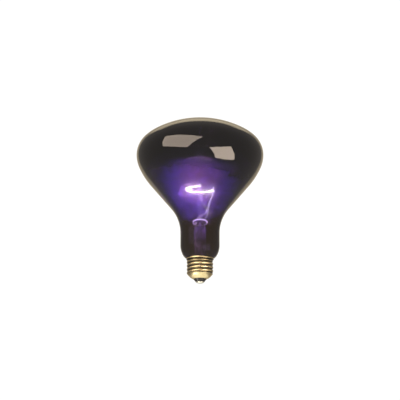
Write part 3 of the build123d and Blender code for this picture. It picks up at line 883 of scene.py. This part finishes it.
@dataclass
class ScrewShell:
    """The brass shell: a drawn cup with a rolled round thread, a flared rim and a notch at the back."""

    pitch: float = 25.4 / 7
    major_r: float = 13.2
    root_r: float = 12.3
    sheet: float = 0.3
    fade: float = 1.3
    crest_start_z: float = 5.0786
    lip_r: float = 6.6
    lip_z: float = 4.3
    corner_z: float = 8.9
    bottom_arc_r: float = 13.2
    rim_r: float = 13.65
    rim_z: float = 25.4
    rim_band: float = 1.1
    rim_flare: float = 1.4
    flare_foot: tuple[Span, ...] = ((0.12, 0.22), (0.42, 0.55))
    flare_head: tuple[Span, ...] = ((-0.36, -0.42), (-0.08, -0.06), (0.0, 0.25))
    rim_edge: tuple[Span, ...] = ((0.0, -0.16), (-0.04, -0.05), (-0.12, 0.0))
    crest_round: float = 0.1
    fade_below: float = 0.15
    fade_soft: float = 0.12
    # These set the painted shade: darkest in the thread's roots and under the rim band, half on the inner
    # face
    recess_shade_at_root: float = 1.6
    recess_shade_fall: float = 1.9
    recess_shade_foot: float = 0.9
    recess_shade_head: float = 0.4
    recess_shade_past_band: float = 0.25
    recess_shade_inner: float = 0.5
    notch_width: float = 1.3
    notch_depth: float = 1.7
    notch_step: float = 0.0004
    notch_clear: float = 0.004
    columns: int = 168
    row_height: float = 0.17

    def bottom_arc(self, steps: int) -> Outline:
        """Gives the outer points of the rounded bottom, from the lip up to the wall.

        Args:
            steps: Number of equal steps.

        Returns:
            The points.
        """
        span = (self.root_r - self.lip_r, self.corner_z - self.lip_z)
        half = math.hypot(*span) / 2
        rise = math.sqrt(self.bottom_arc_r**2 - half**2)
        along = math.atan2(span[1], span[0]) + math.pi / 2
        middle = ((self.root_r + self.lip_r) / 2, (self.corner_z + self.lip_z) / 2)
        centre = (middle[0] + rise * math.cos(along), middle[1] + rise * math.sin(along))
        start = math.degrees(math.atan2(self.lip_z - centre[1], self.lip_r - centre[0]))
        end = math.degrees(math.atan2(self.corner_z - centre[1], self.root_r - centre[0]))
        return arc(centre, self.bottom_arc_r, start, end, steps)

    def outer_rows(self) -> Outline:
        """Gives the outer meridian without its thread, from the lip up to the rim.

        Returns:
            The points.
        """
        flare_z = self.rim_z - self.rim_band - self.rim_flare
        wall_steps = round((flare_z - self.corner_z) / self.row_height)
        points = self.bottom_arc(steps=16)
        points += straight((self.root_r, self.corner_z), (self.root_r, flare_z), wall_steps)
        for r, z, bends in (
            (self.root_r, flare_z, self.flare_foot),
            (self.rim_r, flare_z + self.rim_flare, self.flare_head),
            (self.rim_r, self.rim_z, self.rim_edge),
        ):
            points += [(r + out, z + up) for out, up in bends]
        return without_repeats(points)

    def thread(self, z: np.ndarray, turn: np.ndarray) -> np.ndarray:
        """Gives how far the round thread stands out at each height and angle.

        Args:
            z: Heights.
            turn: Angles from +X, counter-clockwise, in radians.

        Returns:
            The distances from the root, in millimetres.
        """
        height = self.major_r - self.root_r
        phase = (z - self.crest_start_z) / self.pitch - turn / (2 * math.pi)
        bend = self.crest_round
        wave = np.sqrt(np.cos(math.pi * phase) ** 2 + bend**2) - bend
        wave *= height / (math.sqrt(1 + bend**2) - bend)
        slope = height / self.fade
        low_z = self.corner_z - self.fade_below
        high_z = self.rim_z - self.rim_band - self.rim_flare + self.fade / 4
        limit = np.minimum((z - low_z) * slope, (high_z - z) * slope)
        limit = np.clip(limit, 0, None)
        soft = self.fade_soft
        blend = np.clip(0.5 + 0.5 * (limit - wave) / soft, 0, 1)
        joined = limit * (1 - blend) + wave * blend - soft * blend * (1 - blend)
        return np.clip(joined, 0, None)

    def build(self) -> None:
        """Makes the shell as one closed sheet, with its recesses marked for their painted shade."""
        half_notch = math.asin(self.notch_width / 2 / self.rim_r)
        back = math.pi / 2
        turn = list(np.linspace(0, 2 * math.pi, self.columns, endpoint=False))
        turn = [t for t in turn if abs(abs(t - back) - half_notch) > self.notch_clear]
        for side in (-1, 1):
            for step in (-self.notch_step, self.notch_step):
                turn.append(back + side * (half_notch + step))
        turn = np.array(sorted(turn))
        rows = np.array(self.outer_rows())
        z = rows[:, 1][:, None] + 0 * turn
        outer_r = rows[:, 0][:, None] + self.thread(z, turn[None, :])
        slope_r = np.gradient(outer_r, axis=0)
        slope_z = np.gradient(z, axis=0)
        length = np.hypot(slope_r, slope_z)
        inner_r = outer_r - self.sheet * slope_z / length
        inner_z = z + self.sheet * slope_r / length
        top = -1 - len(self.rim_edge)
        inner_r[top:] = self.rim_r - self.sheet
        inner_r[-1] -= self.rim_edge[-1][0]
        inner_z[top:] = z[top:]
        radii = np.concatenate([outer_r, inner_r[::-1]])
        heights = np.concatenate([z, inner_z[::-1]])
        notched = np.abs(turn - back) < half_notch
        cut = np.where(notched, self.rim_z - self.notch_depth, np.inf)[None, :]
        heights = np.minimum(heights, cut)
        points = np.stack([radii * np.cos(turn), radii * np.sin(turn), heights], axis=-1).reshape(-1, 3)
        faces = [face[::-1] for face in grid_faces(len(radii), len(turn), wrap_rows=True)]
        shell = place_mesh("brass_shell", points, faces, SHELL_BRASS, ["screw_shell"])
        mark_points(shell, "recess_shade", self.recess_shade(z, turn[None, :]))

    def recess_shade(self, z: np.ndarray, turn: np.ndarray) -> np.ndarray:
        """Gives each point's painted shade: how deep in the thread's root it is, from 0 to 1, inner face
        last.

        Args:
            z: Heights of the outer rows.
            turn: Angles in radians.

        Returns:
            One value for each point of the shell.
        """
        crest = self.thread(z, turn) / (self.major_r - self.root_r)
        depth = np.clip(self.recess_shade_at_root - self.recess_shade_fall * crest, 0, 1)
        above = np.clip((z - self.corner_z) / self.recess_shade_foot, 0, 1)
        top_z = self.rim_z - self.rim_band + self.recess_shade_past_band
        outer = depth * above * np.clip((top_z - z) / self.recess_shade_head, 0, 1)
        return np.concatenate([outer, 0 * outer + self.recess_shade_inner])


@dataclass
class FilamentCoil:
    """The tungsten coil: fine wire wound round a ring that is open at the front right."""

    ring_r: float = 13.6
    ring_z: float = 96.3
    coil_r: float = 0.55
    wire_r: float = 0.1
    start_deg: float = 1.3
    arc_deg: float = 267.4
    turns: int = 150
    points_per_turn: int = 12
    sides: int = 6

    def build(self) -> None:
        """Makes the coil as one tube."""
        count = self.turns * self.points_per_turn + 1
        share = np.linspace(0, 1, count)
        ring = np.radians(self.start_deg + self.arc_deg * share)
        wind = 2 * math.pi * self.turns * share
        out = np.stack([np.cos(ring), np.sin(ring), 0 * ring], axis=-1)
        up = np.array([0.0, 0.0, 1.0])
        lift = out * np.cos(wind)[:, None] + up * np.sin(wind)[:, None]
        middle = out * self.ring_r + up * self.ring_z
        path = middle + lift * (self.coil_r - self.wire_r)
        ahead = np.gradient(path, axis=0)
        ahead /= np.linalg.norm(ahead, axis=1)[:, None]
        side = np.cross(ahead, lift)
        side /= np.linalg.norm(side, axis=1)[:, None]
        normal = np.cross(side, ahead)
        around = np.linspace(0, 2 * math.pi, self.sides, endpoint=False)
        section = normal[:, None] * np.cos(around)[:, None] + side[:, None] * np.sin(around)[:, None]
        points = (path[:, None] + section * self.wire_r).reshape(-1, 3)
        faces = [face[::-1] for face in grid_faces(count, self.sides)]
        faces.append(tuple(range(self.sides)))
        faces.append(tuple(reversed(range((count - 1) * self.sides, count * self.sides))))
        place_mesh("filament_coil", points, faces, TUNGSTEN, ["filament"])


@dataclass
class CarriedOver:
    """The CAD nodes that keep their shape and get their finish here."""

    def build(self) -> None:
        """Gives each node the material of its finish."""
        for finish, names in CARRIED_OVER:
            for name in names:
                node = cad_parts[name]
                node.data.materials.clear()
                node.data.materials.append(finish.material())
                LOG.info("%s: %s", name, finish.name)


def level_square(centre: Point, half: float) -> tuple[Point, ...]:
    """Gives the corners of a level square round its centre."""
    x, y, z = centre
    return tuple((x + i * half, y + j * half, z) for i, j in ((-1, -1), (1, -1), (1, 1), (-1, 1)))


@dataclass(frozen=True)
class Panel:
    """A flat light-giving stage piece that the camera doesn't see itself. Metres."""

    name: str
    cover: str
    corners: tuple[Point, ...]
    colour: str
    strength: float
    seen_through: bool = True


# Two soft boxes in front, and close under the base a white card and a small bright panel
PANELS = (
    Panel(
        name="stage_left_box",
        cover="cloth",
        corners=(
            (-1.466, -0.368, 1.343),
            (0.115, -1.217, 0.848),
            (-0.708, -1.694, -0.222),
            (-2.289, -0.845, 0.273),
        ),
        colour="#FFEBD2",
        strength=4.4,
    ),
    Panel(
        name="stage_right_box",
        cover="cloth",
        corners=(
            (0.505, -1.652, -0.228),
            (1.257, -0.853, 0.111),
            (1.609, -0.430, -0.860),
            (0.820, -1.273, -1.085),
        ),
        colour="#FFEBD2",
        strength=6.9,
    ),
    Panel(
        name="stage_card",
        cover="paper",
        corners=level_square((0.0, 0.0, -0.05), 0.055),
        colour="#FFFBEA",
        strength=1.5,
        seen_through=False,
    ),
    Panel(
        name="stage_spark",
        cover="paper",
        corners=level_square((-0.038, -0.016, -0.044), 0.01),
        colour="#FFFBEA",
        strength=6.0,
        seen_through=False,
    ),
)


@dataclass
class Studio:
    """A white sweep, the light panels and a camera that looks up at the bulb. Metres."""

    aim: Point = (0.0, 0.0, 0.0852)
    camera_elevation_deg: float = -12.7
    camera_distance: float = 6.0
    camera_reach: float = 100.0
    view_width: float = 0.4
    sensor_mm: float = 36.0
    floor_z: float = -4.4
    floor_half: float = 14.0
    floor_colour: str = "#D9D9D9"
    floor_roughness: float = 0.8
    floor_glow: float = 0.55
    backdrop_r: float = 3.2
    backdrop_half_deg: float = 31.0
    backdrop_steps: int = 24
    backdrop_z: Point = (-1.0, 2.3, 3.58)
    backdrop_colour: str = "#FFECC8"
    backdrop_strength: Span = (0.6, 1.22)
    white: str = "#FFFFFF"
    room_colour: str = "#FFF1E0"
    surround: Span = (1.0, 0.19)
    below_sine: Span = (-0.998, -0.94)
    bloom_threshold: float = 1.0
    bloom_smoothness: float = 0.2
    bloom_strength: float = 1.0
    bloom_size: float = 0.07
    print_black: float = 0.01
    print_tone: Point = (1.0, 0.95, 0.85)

    def light_material(self, name: str, colour: str, strength: float) -> bpy.types.Material:
        """Makes a plain light-giving material for a stage piece.

        Args:
            name: The material's name.
            colour: Its colour as #RRGGBB.
            strength: Its radiance.

        Returns:
            The material.
        """
        material, tree = blank_material(name)
        glow = add(tree, "ShaderNodeEmission", {"Color": colour, "Strength": strength})
        add(tree, "ShaderNodeOutputMaterial", (glow,))
        return material

    def stage_mesh(
        self,
        name: str,
        points: Sequence[Point],
        faces: list[tuple[int, ...]],
        material: bpy.types.Material,
        seen_through: bool = True,
    ) -> bpy.types.Object:
        """Makes a stage piece that the camera doesn't see.

        Args:
            name: The piece's name.
            points: Its vertices in metres.
            faces: Its faces.
            material: Its material.
            seen_through: Whether the glass shows it behind itself.

        Returns:
            The stage object.
        """
        piece = new_object(name, points, faces, material)
        piece.visible_camera = False
        piece.visible_transmission = seen_through
        return piece

    def build_sweep(self) -> None:
        """Makes the floor and the white backdrop behind the bulb."""
        paint, tree = blank_material("stage_floor_paint")
        inputs = {
            "Base Color": self.floor_colour,
            "Roughness": self.floor_roughness,
            "Emission Color": self.white,
            "Emission Strength": self.floor_glow,
        }
        add(tree, "ShaderNodeOutputMaterial", (add(tree, "ShaderNodeBsdfPrincipled", inputs),))
        corners = level_square((0.0, 0.0, self.floor_z), self.floor_half)
        floor = self.stage_mesh("stage_floor", corners, [(0, 1, 2, 3)], paint)
        floor.visible_camera = True
        floor.visible_glossy = False
        steps = self.backdrop_steps
        for part, strength in enumerate(self.backdrop_strength):
            points = []
            for i in range(steps + 1):
                angle = math.radians(90 + self.backdrop_half_deg * (2 * i / steps - 1))
                x = self.backdrop_r * math.cos(angle)
                y = self.backdrop_r * math.sin(angle)
                points += [(x, y, z) for z in self.backdrop_z[part : part + 2]]
            faces = [(2 * i, 2 * i + 1, 2 * i + 3, 2 * i + 2) for i in range(steps)]
            paper = f"stage_backdrop_paper_{part}"
            glow = self.light_material(paper, self.backdrop_colour, strength)
            self.stage_mesh(f"stage_backdrop_{part}", points, faces, glow, seen_through=False)

    def build_panels(self) -> None:
        """Makes the light panels."""
        for panel in PANELS:
            glow = self.light_material(f"{panel.name}_{panel.cover}", panel.colour, panel.strength)
            self.stage_mesh(panel.name, panel.corners, [(0, 1, 2, 3)], glow, panel.seen_through)

    def build_surround(self) -> None:
        """Makes the room: white to the camera, and grey with a bright floor where the bulb mirrors it."""
        world = bpy.data.worlds.new("studio_room")
        bpy.context.scene.world = world
        world.use_nodes = True
        tree = world.node_tree
        tree.nodes.clear()
        seen = add(tree, "ShaderNodeLightPath").outputs["Is Camera Ray"]
        way = add(tree, "ShaderNodeTexCoord").outputs["Generated"]
        up = add(tree, "ShaderNodeSeparateXYZ", (way,)).outputs["Z"]
        fade = (up, *self.below_sine, *self.surround)
        shade = add(tree, "ShaderNodeMapRange", fade, interpolation_type="SMOOTHSTEP")
        room = add(tree, "ShaderNodeBackground", (self.room_colour, shade))
        white = add(tree, "ShaderNodeBackground", (self.white, 1.0))
        mixed = add(tree, "ShaderNodeMixShader", (seen, room, white))
        add(tree, "ShaderNodeOutputWorld", (mixed,))

    def build_camera(self) -> None:
        """Makes the camera: a long lens, a little below the bulb."""
        data = bpy.data.cameras.new("camera")
        data.sensor_width = self.sensor_mm
        data.lens = self.sensor_mm * self.camera_distance / self.view_width
        data.clip_end = self.camera_reach
        camera = bpy.data.objects.new("camera", data)
        bpy.context.scene.collection.objects.link(camera)
        tilt = math.radians(self.camera_elevation_deg)
        away = Vector((0.0, -math.cos(tilt), math.sin(tilt)))
        camera.location = Vector(self.aim) + away * self.camera_distance
        camera.rotation_euler = (-away).to_track_quat("-Z", "Y").to_euler()
        bpy.context.scene.camera = camera

    def build_film(self) -> None:
        """Sets the plain view transform, the lens's bloom round the filament and the print's black."""
        scene = bpy.context.scene
        scene.view_settings.view_transform = "Standard"
        scene.view_settings.look = "None"
        scene.use_nodes = True
        tree = scene.node_tree
        tree.nodes.clear()
        inputs = {
            "Image": add(tree, "CompositorNodeRLayers").outputs["Image"],
            "Threshold": self.bloom_threshold,
            "Smoothness": self.bloom_smoothness,
            "Strength": self.bloom_strength,
            "Size": self.bloom_size,
        }
        bloom = add(tree, "CompositorNodeGlare", inputs, glare_type="BLOOM", quality="HIGH")
        black = tuple(self.print_black * tone for tone in self.print_tone)
        inputs = {0: 1.0, 1: bloom.outputs["Image"], 2: (*black, 0.0)}
        lifted = add(tree, "CompositorNodeMixRGB", inputs, blend_type="ADD")
        add(tree, "CompositorNodeComposite", (lifted,))

    def build(self) -> None:
        """Makes the whole studio."""
        self.build_sweep()
        self.build_panels()
        self.build_surround()
        self.build_camera()
        self.build_film()


def main() -> None:
    """Builds the bulb and its studio."""
    logging.basicConfig(level=logging.INFO, format="%(name)s: %(message)s")
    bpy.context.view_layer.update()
    GlassBulb().build()
    ScrewShell().build()
    FilamentCoil().build()
    CarriedOver().build()
    Studio().build()


if __name__ == "__main__":
    main()
